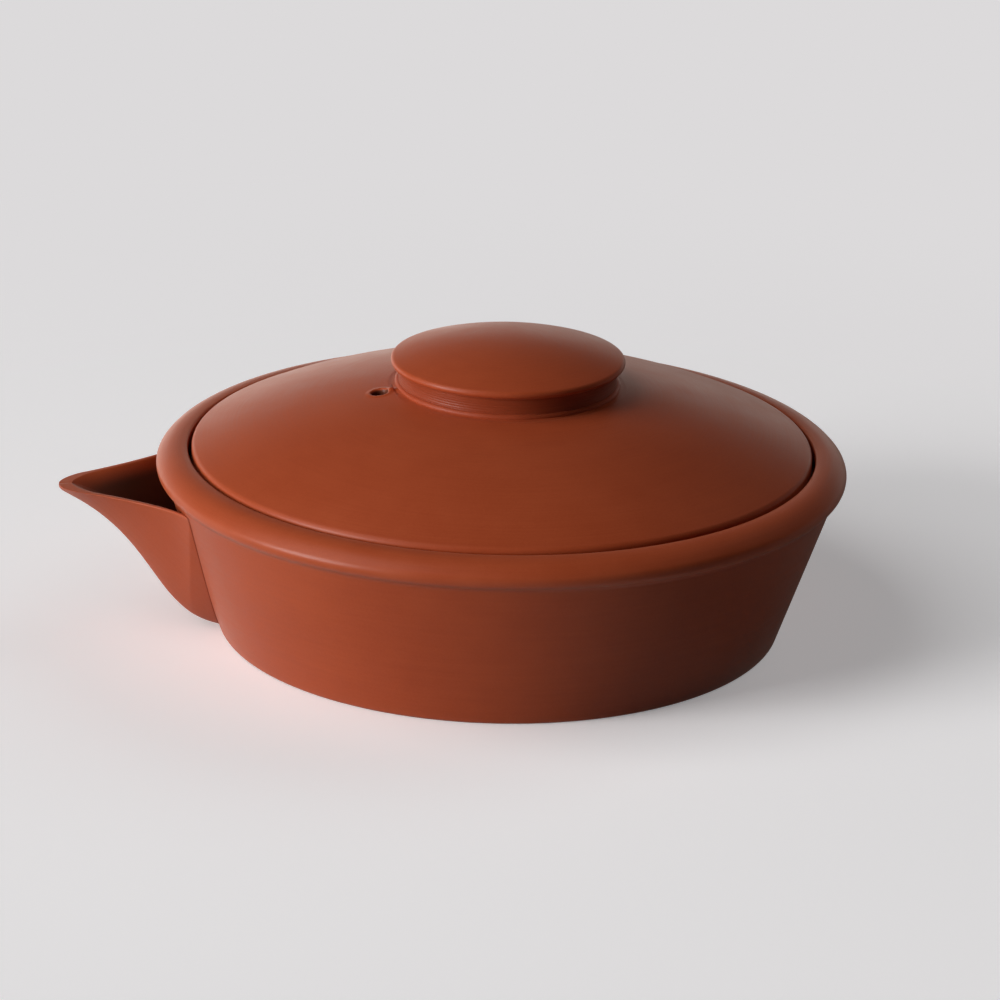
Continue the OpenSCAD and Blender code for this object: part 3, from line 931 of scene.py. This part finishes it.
        # Painted shade: the air hole's edges, and the wall woven between them, are darkened.
        painted_shade = np.concatenate(work.painted_shade)
        painted_shade[np.concatenate(edges)] = self.vent_painted_shade
        work.painted_shade = [painted_shade]
        places = np.concatenate(work.points)
        turns = [np.argsort(np.arctan2(*(places[e][:, 1::-1] - self.vent[::-1]).T)) for e in edges]
        work.weave(np.vstack([e[t] for e, t in zip(edges, turns)]), True)
        work.piece("lid_dome", BURNISHED.material(), Body.LID, Slot.RED_CLAY, ["lid"])


@dataclass
class Knob:
    """The low wide knob: a shallow domed disc on a turned neck, hollow inside, with a bead of slip."""

    lid: Lid
    columns: int = 224
    overhang: float = 1.2
    dome_h: float = 3.4
    edge_r: float = 0.7
    under_r: float = 0.3
    wall_t: float = 3.0
    neck_waist: float = 0.12
    waist_power: float = 0.8
    ring_depth: float = 0.03
    ring_count: int = 7
    # Painted shade on the neck, where the disc's overhang shades it.
    neck_painted_shade: float = 0.42
    tilt: float = 0.2
    bead_r: float = 0.75
    bead_sunk: float = 0.12
    bead_lift: float = 0.02
    bead_flat: float = 0.9
    bead_mean: float = 0.84
    bead_waves: tuple[tuple[float, int, float], ...] = ((0.07, 3, 1.0), (0.05, 7, 0.0), (0.03, 17, 2.0))
    bead_sides: int = 24
    pole_turn: float = 89.4
    cap_steps: int = 70
    edge_steps: int = 14
    neck_rows: int = 60
    foot_rows: int = 8
    side_steps: int = 4
    hollow_steps: int = 24

    def __post_init__(self) -> None:
        """Works out the disc's sphere and the neck from the frame."""
        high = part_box("knob")[1] / MM
        self.knob_r, self.top_z = high.x, high.z
        self.shift = self.lid.knob_shift
        self.neck_r = self.knob_r - self.overhang
        self.cap_r = (self.knob_r**2 + self.dome_h**2) / (2 * self.dome_h)
        self.cap_centre_z = self.top_z - self.cap_r
        self.edge_x = self.knob_r - self.edge_r
        self.edge_z = self.cap_centre_z + math.sqrt((self.cap_r - self.edge_r) ** 2 - self.edge_x**2)
        self.under_z = self.edge_z - self.edge_r
        self.foot_z = self.lid.dome_z(self.neck_r)

    def neck(self) -> Array:
        """Neck from the disc down: a slight waist, with fine turned rings as a wave along its height.

        Returns:
            Points of the section.
        """
        t = np.linspace(0, 1, self.neck_rows)
        bow = np.clip(np.sin(np.pi * t), 0, 1)
        ring = self.ring_depth * bow * np.sin(np.pi * self.ring_count * t) ** 2
        top = self.under_z - self.under_r
        return np.column_stack([self.neck_r - self.neck_waist * bow**self.waist_power - ring,
                                top + (self.foot_z - top) * t])

    def settle(self, points: Array) -> Array:
        """Sets points as the luted knob stands: a little off the axis, tilted, its foot on the dome.

        x grows by the shift. z grows by x tan(tilt) on the disc and by the dome's own fall at the foot,
        with a smooth step between the two up the neck.

        Args:
            points: Points of the level knob on the axis.

        Returns:
            The points moved.
        """
        x, y, z = points[..., 0], points[..., 1], points[..., 2]
        moved = x + self.shift
        up = fade(z, self.foot_z, self.under_z)
        on_dome = self.lid.dome_z(np.hypot(moved, y)) - self.lid.dome_z(np.hypot(x, y))
        lift = up * x * math.tan(math.radians(self.tilt)) + (1 - up) * on_dome
        return np.stack([moved, y, z + lift], axis=-1)

    def section(self) -> Section:
        """Half section, from the top of the disc round its edge, down the neck and back up inside.

        Returns:
            The section, with the stretch neck.
        """
        tangent = math.degrees(math.atan2(self.edge_z - self.cap_centre_z, self.edge_x))
        middle = (0, self.cap_centre_z)
        hollow_r = self.neck_r - self.wall_t
        hollow_top = self.cap_r - self.wall_t
        side_z = self.cap_centre_z + math.sqrt(hollow_top**2 - hollow_r**2)
        start = math.degrees(math.acos(hollow_r / hollow_top))
        under = (self.neck_r, self.under_z)
        neck = self.neck()
        foot = self.lid.dome_line(np.linspace(self.neck_r, hollow_r, self.foot_rows))
        section = Section()
        section.run(arc(middle, self.cap_r, self.pole_turn, tangent, self.cap_steps))
        section.run(arc((self.edge_x, self.edge_z), self.edge_r, tangent, -90, self.edge_steps))
        section.run(soften((self.edge_x, self.under_z), under, neck[0], self.under_r))
        section.run(neck, "neck")
        section.run(foot)
        section.run(line(foot[-1], (hollow_r, side_z), self.side_steps))
        section.run(arc(middle, hollow_top, start, self.pole_turn, self.hollow_steps))
        return section

    def build(self) -> None:
        """Makes the knob: the section spun round the axis."""
        section = self.section()
        # Painted shade: the neck is darkened as if it lay in the disc's shadow.
        painted_shade = np.zeros((len(section.points()), 1))
        first, last = section.spans["neck"]
        painted_shade[first:last + 1] = self.neck_painted_shade
        work = Patchwork()
        numbers = work.add(self.settle(section.spun(self.columns)), section.edge_wear(), painted_shade)
        work.weave(numbers, True)
        work.close(numbers[0], (self.shift, 0, self.top_z))
        work.close(numbers[-1], (self.shift, 0, self.top_z - self.wall_t))
        work.piece("knob_disc", TURNED.material(), Body.LID, Slot.RED_CLAY, ["knob"])

    def build_bead(self) -> None:
        """Makes the bead of slip: a round section along a circle, a little thicker and thinner as it goes.

        The section at angle a is centre + R(a) (cos t, sin t), with R(a) a sum of slow waves round the neck.
        """
        angle = round_angles(self.columns)
        t = round_angles(self.bead_sides)[:, None]
        waves = sum(height * np.sin(count * angle + start) for height, count, start in self.bead_waves)
        thick = self.bead_r * (self.bead_mean + waves)
        r = self.neck_r - self.bead_sunk + thick * np.cos(t)
        z = self.foot_z + self.bead_lift + self.bead_flat * thick * np.sin(t)
        work = Patchwork()
        numbers = work.add(self.settle(on_circle(r, angle, z)))
        work.weave(np.vstack([numbers, numbers[:1]]), True)
        work.piece("knob_bead", LUTING.material(), Body.LID, Slot.SLIP, ["knob_slip_bead"])


@dataclass
class Spout:
    """The open spout: a folded sheet with a keel, luted to the wall with a film of slip."""

    bowl: Bowl
    stations: int = 64
    root_crowding: float = 1.6
    tip_stations: int = 14
    across: int = 64
    root_half_w: float = 20.0
    tip_half_w: float = 3.6
    drop: float = 6.0
    tip_drop: float = 0.8
    keel_foot_h: float = 0.4
    keel_belly: float = 12.0
    keel_hollow: float = 8.7
    keel_hollow_h: float = 8.7
    keel_rows: int = 400
    lip_h: float = 0.9
    lip_l: float = 2.2
    side_t: float = 1.9
    edge_t: float = 1.1
    edge_power: float = 5.0
    keel_t: float = 2.4
    flare: float = 2.2
    flare_power: float = 9.0
    tip_round: float = 0.9
    tip_lift: float = 0.45
    tip_limit: float = 0.999
    spread_power: float = 1.25
    keel_flat: float = 0.2
    side_power: float = 1.2
    least_depth: float = 0.1
    slip_t: float = 0.14
    slip_recess: float = 0.02
    edge_r: float = 0.45
    edge_share: float = 0.4
    edge_at: float = 0.985
    edge_steps: int = 5
    edge_wear: float = 0.8
    root_corner: float = 0.02
    search_inside: float = 8.0
    search_outside: float = 4.0
    round_reach: float = 88.0
    # Painted shade in the channel: the depth at which it is full, its share at the tip, and where it rises
    # towards the wall.
    shade_depth: float = 2.4
    shade_front: float = 0.75
    shade_back: Pair = (0.1, 0.6)

    def __post_init__(self) -> None:
        """Works out the keel's two curves from the sizes and the frame."""
        self.tip_r = -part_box("spout")[0].x / MM
        self.top_z = self.bowl.rim_h - self.drop
        self.root_r = math.sqrt(self.bowl.wall_r(self.top_z) ** 2 - self.root_half_w**2)
        self.tip_z = self.top_z - self.tip_drop
        self.channel_end = self.tip_r - self.lip_l
        foot_r = self.bowl.wall_r(self.keel_foot_h)
        self.keel = np.array([
            (foot_r - self.bowl.wall_t, self.keel_foot_h),
            (foot_r + self.keel_belly, self.keel_foot_h),
            (foot_r + self.keel_hollow, self.tip_z - self.keel_hollow_h),
            (self.tip_r, self.tip_z - self.lip_h),
        ])
        inward = (-self.keel_t, self.keel_t)
        self.channel = self.keel + np.array([(0, self.keel_t), inward, inward, (0, 0)])
        self.channel[3] = (self.channel_end, self.tip_z)

    def low_z(self, curve: Array, r: Array) -> Array:
        """Height of a keel at a distance from the axis: the cubic curve of four control points, read at r."""
        t = np.linspace(0, 1, self.keel_rows)[:, None]
        way = ((1 - t) ** 3 * curve[0] + 3 * t * (1 - t) ** 2 * curve[1]
               + 3 * t**2 * (1 - t) * curve[2] + t**3 * curve[3])
        return np.interp(r, way[:, 0], way[:, 1])

    def half_width(self, r: Array) -> Array:
        """Half the width over the top edges: a low power of the way back from the tip, plus a high one."""
        back = np.maximum(0, self.tip_r - r) / (self.tip_r - self.root_r)
        spread = (self.root_half_w - self.tip_half_w - self.flare) * back**self.spread_power
        return self.tip_half_w + spread + self.flare * np.minimum(1, back) ** self.flare_power

    def sheet(self, r: Array, s: Array, inner: bool = False, inset: float = 0.0) -> Array:
        """A face of the spout: y = w s and z = low + (top - low) rise(|s|).

        The rise is a power of s beyond the flat keel. The sides thin out towards the top edges with a
        power of s, and the keel turns up in a round at the tip.

        Args:
            r: Distance from the pot's axis.
            s: Place across, from -1 on one top edge to 1 on the other.
            inner: Whether the face is the channel's.
            inset: Distance by which the outer face is drawn in.

        Returns:
            Points with x = -r.
        """
        end, curve = (self.channel_end, self.channel) if inner else (self.tip_r, self.keel)
        thick = self.side_t - (self.side_t - self.edge_t) * np.abs(s) ** self.edge_power
        x = np.clip((r - end + self.tip_half_w) / self.tip_half_w, 0, self.tip_limit)
        w = (self.half_width(r) - (thick if inner else inset)) * np.sqrt(1 - x**2)
        fall = np.maximum(0, r - self.root_r) / (self.tip_r - self.root_r)
        top = self.top_z - self.tip_drop * fall - inset
        near = np.clip((r - self.tip_r + self.tip_round) / self.tip_round, 0, 1)
        low = self.low_z(curve, r) + inset + self.tip_lift * (1 - np.sqrt(1 - near**2))
        low = np.minimum(low, top - self.least_depth)
        beyond = np.maximum(0, np.abs(s) - self.keel_flat) / (1 - self.keel_flat)
        return np.stack([-r, w * s, low + (top - low) * beyond**self.side_power], axis=-1)

    def root(self, s: Array, off_wall: float, inner: bool = False, inset: float = 0.0) -> Array:
        """Distance r at which a face of the spout meets a skin round the bowl.

        Args:
            s: Places across.
            off_wall: Distance of the skin from the bowl.
            inner: Whether the face is the channel's.
            inset: Distance by which the outer face is drawn in.

        Returns:
            One distance for each place.
        """

        def gap(r: Array) -> Array:
            """How far the face's point is outside that skin."""
            p = self.sheet(r, s, inner, inset)
            return np.hypot(p[..., 0], p[..., 1]) - self.bowl.outline_r(p[..., 2]) - off_wall

        low, high = self.keel[0, 0] - self.search_inside, self.channel_end - self.search_outside
        return solve(gap, np.full_like(s, low), np.full_like(s, high))

    def face(self, inner: bool, s: Array) -> Array:
        """Grid of one face, from the wall to the tip: growing steps, then a quarter round at the end.

        Args:
            inner: Whether the face is the channel's.
            s: Places across.

        Returns:
            Points, stations by places across.
        """
        end = self.channel_end if inner else self.tip_r
        start = self.root(s, self.slip_t, inner)
        q = np.linspace(0, 1, self.stations)[:, None] ** self.root_crowding
        straight = start + (end - self.tip_half_w - start) * q
        turn = np.radians(np.linspace(0, self.round_reach, self.tip_stations + 1)[1:])[:, None]
        rounded = end - self.tip_half_w * (1 - np.sin(turn)) + np.zeros_like(s)
        return self.sheet(np.vstack([straight, rounded]), s, inner)

    def channel_painted_shade(self, points: Array) -> Array:
        """Painted shade in the channel: smooth steps with the depth below its edges and towards the wall."""
        depth = self.top_z - self.tip_drop / 2 - points[..., 2]
        back = (self.tip_r + points[..., 0]) / (self.tip_r - self.root_r)
        share = self.shade_front + (1 - self.shade_front) * fade(back, *self.shade_back)
        return fade(depth, 0.0, self.shade_depth) * share

    def build(self) -> None:
        """Makes the spout: an outer and an inner face, joined all round by a strip with rounded edges."""
        s = np.linspace(-1, 1, self.across + 1) * self.edge_at
        grids = [self.face(inner, s) for inner in (False, True)]
        tops = [self.face(inner, np.where(s < 0, -1.0, 1.0)) for inner in (False, True)]
        work = Patchwork()
        # The channel's face takes painted shade, darker deeper down and towards the wall.
        numbers = [work.add(grids[0]), work.add(grids[1], 0.0, self.channel_painted_shade(grids[1]))]
        for grid_numbers in numbers:
            work.weave(grid_numbers)
        rim, crest = [border(g) for g in grids], [border(g) for g in tops]
        at_side = np.zeros(grids[0].shape[:2], bool)
        at_side[:, [0, -1]] = True
        at_side[-1] = True
        side = border(at_side)[:, None]
        blunt = [rim[k] + self.root_corner * (rim[1 - k] - rim[k]) for k in (0, 1)]
        corner = [np.where(side, crest[k], blunt[k]) for k in (0, 1)]
        span = np.linalg.norm(corner[1] - corner[0], axis=1, keepdims=True)
        share = np.minimum(self.edge_r / np.maximum(span, SAME_POINT), self.edge_share)
        flat = [corner[k] + share * (corner[1 - k] - corner[k]) for k in (0, 1)]
        rows = np.concatenate([bend(rim[0], corner[0], flat[0], self.edge_steps)[1:],
                               bend(flat[1], corner[1], rim[1], self.edge_steps)[:-1]])
        strip = work.add(rows, np.where(side[:, 0], self.edge_wear, 0.0))
        work.weave(np.vstack([border(numbers[0]), strip, border(numbers[1])]), True)
        work.piece("spout_channel", FOLDED.material(), Body.POT, Slot.RED_CLAY, ["spout"])

    def build_seam(self) -> None:
        """Makes the film of slip between the spout and the wall: a thin sunk band along the joint."""
        s = np.linspace(-1, 1, 2 * self.across + 1)
        edges = ((0.0, False, self.slip_recess), (self.slip_t, False, self.slip_recess),
                 (self.slip_t, True, 0.0), (0.0, True, 0.0))
        corners = [self.sheet(self.root(s, off, inner, inset), s, inner, inset)
                   for off, inner, inset in edges]
        work = Patchwork()
        numbers = work.add(np.stack(corners, axis=1))
        work.weave(numbers, True)
        work.faces.append([numbers[0].tolist(), numbers[-1].tolist()])
        work.piece("spout_seam", SLIP.material(), Body.POT, Slot.SLIP, ["spout_slip_seam"], smooth=False)


@dataclass(frozen=True)
class Lamp:
    """A square soft light.

    Attributes:
        name: Name of the lamp.
        azimuth: Direction it stands in, in degrees to the left of the camera.
        elevation: Its height as an angle, in degrees.
        size: Length of its side, in metres.
        power: Its power, in watts.
        shines: Whether the gloss of the clay shows it.
        distance: Its distance from the pot, in metres.
    """

    name: str
    azimuth: float
    elevation: float
    size: float
    power: float
    shines: bool = True
    distance: float = 2.4

    def build(self, target: Vector, camera_azimuth: float) -> None:
        """Hangs the lamp so that it faces the target.

        Args:
            target: Middle of the pot.
            camera_azimuth: Direction of the camera, in degrees.
        """
        way = direction(camera_azimuth - self.azimuth, self.elevation)
        light = bpy.data.lights.new(self.name, "AREA")
        light.size = self.size
        light.energy = self.power
        lamp = placed(self.name, light)
        lamp.visible_glossy = self.shines
        lamp.location = target + way * self.distance
        lamp.rotation_euler = (-way).to_track_quat("-Z", "Y").to_euler()


LAMPS = [
    Lamp("low_softbox", azimuth=64, elevation=13, size=1.1, power=53),
    Lamp("high_softbox", azimuth=75, elevation=50, size=1.6, power=17),
    Lamp("fill", azimuth=-125, elevation=40, size=1.6, power=8, shines=False),
]


@dataclass(frozen=True)
class PhotoCamera:
    """The camera at the photograph's viewing angle.

    Attributes:
        azimuth: Direction it stands in, in degrees from -Y towards +X.
        elevation: Its height as an angle, in degrees.
        roll: Turn about its own line of sight, in degrees.
        distance: Its distance from the middle of the pot, in metres.
        lens: Focal length, in millimetres.
        sensor: Width of the picture behind the lens, in millimetres.
        nearest: Distance from which things are seen, in metres.
        middle_h: Height of the pot's middle, in metres.
        aim_right: How far right of the pot's middle the picture's centre lies, in metres.
        aim_up: How far above it, in metres.
    """

    azimuth: float = -4.0
    elevation: float = 19.44
    roll: float = 1.36
    distance: float = 0.7
    lens: float = 149.35
    sensor: float = 36.0
    nearest: float = 0.01
    middle_h: float = 0.025
    aim_right: float = -0.00011
    aim_up: float = -0.00361

    def build(self) -> None:
        """Makes the camera and gives it to the scene."""
        back = direction(self.azimuth, self.elevation)
        right = Vector((math.cos(math.radians(self.azimuth)), math.sin(math.radians(self.azimuth)), 0))
        middle = Vector((0, 0, self.middle_h))
        place = middle + back * self.distance
        aim = middle + right * self.aim_right + back.cross(right) * self.aim_up
        look = (aim - place).to_track_quat("-Z", "Y").to_matrix().to_4x4()
        roll = Matrix.Rotation(math.radians(self.roll), 4, "Z")
        data = bpy.data.cameras.new("photo_camera")
        data.lens = self.lens
        data.sensor_width = self.sensor
        data.clip_start = self.nearest
        camera = placed("photo_camera", data)
        camera.matrix_world = Matrix.Translation(place) @ look @ roll
        bpy.context.scene.camera = camera


@dataclass(frozen=True)
class Studio:
    """A plain pale floor and soft light.

    Attributes:
        backdrop: Colour that the camera sees behind the pot.
        mirror_tone: Colour that the pot mirrors in its place.
        floor: Colour of the floor under the lamps.
        bounce: Share of the floor's colour that lights the pot.
        glow: Strength that lifts the floor to the backdrop for the camera.
        ambient: Strength of the light from all round.
        overhead: Strength of what is seen overhead, against 1 at the horizon.
        overhead_span: Sines of the elevations at which the backdrop starts to darken and is darkest.
        dark_side: Share of the backdrop that the pot mirrors on its right, against 1 on its left.
        dark_side_span: Places from left to right, as cosines or in floor_reach, between which that falls.
        front_side: Share of the backdrop that the pot mirrors from the front.
        back_side: Share of it that the pot mirrors from behind.
        back_side_span: Places from front to back, as cosines or in floor_depth, between which that rises.
        floor_reach: Distance to the right that counts as 1 on the floor, in metres.
        floor_depth: Distance to the back that counts as 1 on the floor, in metres.
        floor_size: Side of the floor, in metres.
        clear_span: Distances from the pot between which the floor runs into the backdrop, in metres.
    """

    backdrop: Rgb = (0.716, 0.701, 0.708)
    mirror_tone: Rgb = (0.72, 0.66, 0.60)
    floor: Rgb = (0.95, 0.935, 0.94)
    bounce: float = 0.4
    glow: float = 0.35
    ambient: float = 0.012
    overhead: float = 0.05
    overhead_span: Pair = (0.03, 0.3)
    dark_side: float = 0.2
    dark_side_span: Pair = (0.1, 0.8)
    front_side: float = 0.5
    back_side: float = 2.5
    back_side_span: Pair = (-0.5, 1.0)
    floor_reach: float = 0.07
    floor_depth: float = 0.5
    floor_size: float = 12.0
    clear_span: Pair = (0.07, 0.28)

    def seen(self, bench: Bench) -> Socket:
        """1 on rays from the camera, from mirrors and through glass, 0 on the rays that light the pot."""
        path = bench.node("LightPath").outputs
        rays = bench.total(*(path[f"Is {kind} Ray"] for kind in ("Camera", "Glossy", "Transmission")))
        return bench.math("ADD", rays, clamp=True)

    def tone(self, bench: Bench) -> Socket:
        """Colour of the backdrop: warmer in a mirror than to the eye."""
        glossy = bench.node("LightPath").outputs["Is Glossy Ray"]
        return bench.blend(glossy, rgba(self.backdrop), rgba(self.mirror_tone))

    def mirrored(self, bench: Bench, across: Socket, behind: Socket) -> Socket:
        """What a mirror shows of the backdrop: a smooth step down to the right times one up to the back.

        Args:
            bench: The node tree.
            across: Place from left to right.
            behind: Place from front to back.

        Returns:
            A share that is 1 on all but mirrored rays.
        """
        fall = bench.ramp(across, (1.0, self.dark_side), self.dark_side_span, smooth=True)
        lift = bench.ramp(behind, (self.front_side, self.back_side), self.back_side_span, smooth=True)
        glossy = bench.node("LightPath").outputs["Is Glossy Ray"]
        return bench.ramp(glossy, (1.0, bench.math("MULTIPLY", lift, fall)))

    def floor_material(self) -> bpy.types.Material:
        """Pale matt floor that takes the pot's shadow and is brighter to the eye than to the pot.

        Returns:
            The material.
        """
        made = bpy.data.materials.new("pale_floor")
        made.use_nodes = True
        bench = Bench(made.node_tree)
        seen = self.seen(bench)
        place = bench.node("TexCoord").outputs["Object"]
        x, y, _ = bench.parts(place)
        mirrored = self.mirrored(bench, bench.math("DIVIDE", x, self.floor_reach),
                                 bench.math("DIVIDE", y, self.floor_depth))
        dim = tuple(c * self.bounce for c in self.floor)
        colour = bench.blend(seen, rgba(dim), rgba(self.floor))
        paint = bench.node("VectorMath", {0: colour, "Scale": mirrored}, operation="SCALE")
        matt = bench.node("BsdfDiffuse", {"Color": paint.outputs["Vector"]})
        shown = bench.math("MULTIPLY", bench.math("MULTIPLY", seen, mirrored), self.glow)
        glow = bench.node("Emission", {"Color": self.tone(bench), "Strength": shown})
        near = bench.node("AddShader", {0: matt.outputs[0], 1: glow.outputs[0]})
        clear = bench.ramp(bench.length(place), (0.0, 1.0), self.clear_span, smooth=True)
        share = bench.math("MULTIPLY", clear, seen)
        plain = bench.node("Emission", {"Color": self.tone(bench), "Strength": mirrored})
        whole = bench.node("MixShader", {0: share, 1: near.outputs[0], 2: plain.outputs[0]})
        bench.node("OutputMaterial", {"Surface": whole.outputs[0]})
        return made

    def build(self, camera: PhotoCamera, lamps: list[Lamp]) -> None:
        """Lays the floor, sets the world and hangs the lamps.

        Args:
            camera: The camera that the lamps stand round.
            lamps: The lamps.
        """
        half = self.floor_size / 2
        corners = [(-half, -half, 0), (half, -half, 0), (half, half, 0), (-half, half, 0)]
        mesh = bpy.data.meshes.new("floor")
        mesh.from_pydata(corners, [], [(0, 1, 2, 3)])
        mesh.materials.append(self.floor_material())
        floor = placed("floor", mesh)
        world = bpy.data.worlds.new("studio")
        world.use_nodes = True
        bpy.context.scene.world = world
        bench = Bench(world.node_tree)
        x, y, z = bench.parts(bench.node("TexCoord").outputs["Generated"])
        height = bench.ramp(z, (1.0, self.overhead), self.overhead_span)
        shown = bench.math("MULTIPLY", height, self.mirrored(bench, x, y))
        strength = bench.ramp(self.seen(bench), (self.ambient, shown))
        sky = bench.node("Background", {"Color": self.tone(bench), "Strength": strength})
        bench.node("OutputWorld", {"Surface": sky.outputs[0]})
        for lamp in lamps:
            lamp.build(Vector((0, 0, camera.middle_h)), camera.azimuth)


def dress_strainer() -> None:
    """Gives the strainer and its ring of slip their finishes."""
    for node, finish in (("strainer", RAW), ("strainer_slip_ring", LUTING)):
        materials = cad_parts[node].data.materials
        materials.clear()
        materials.append(finish.material())
        LOG.info("%s: finish %s", node, finish.name)


def main() -> None:
    """Builds the teapot piece by piece, then the studio around it."""
    logging.basicConfig(level=logging.INFO, format="%(name)s: %(message)s")
    bowl = Bowl()
    bowl.build()
    spout = Spout(bowl)
    spout.build()
    spout.build_seam()
    dress_strainer()
    lid = Lid(bowl)
    lid.build()
    knob = Knob(lid)
    knob.build()
    knob.build_bead()
    camera = PhotoCamera()
    camera.build()
    Studio().build(camera, LAMPS)
    bpy.context.scene.view_settings.view_transform = "Standard"


if __name__ == "__main__":
    main()
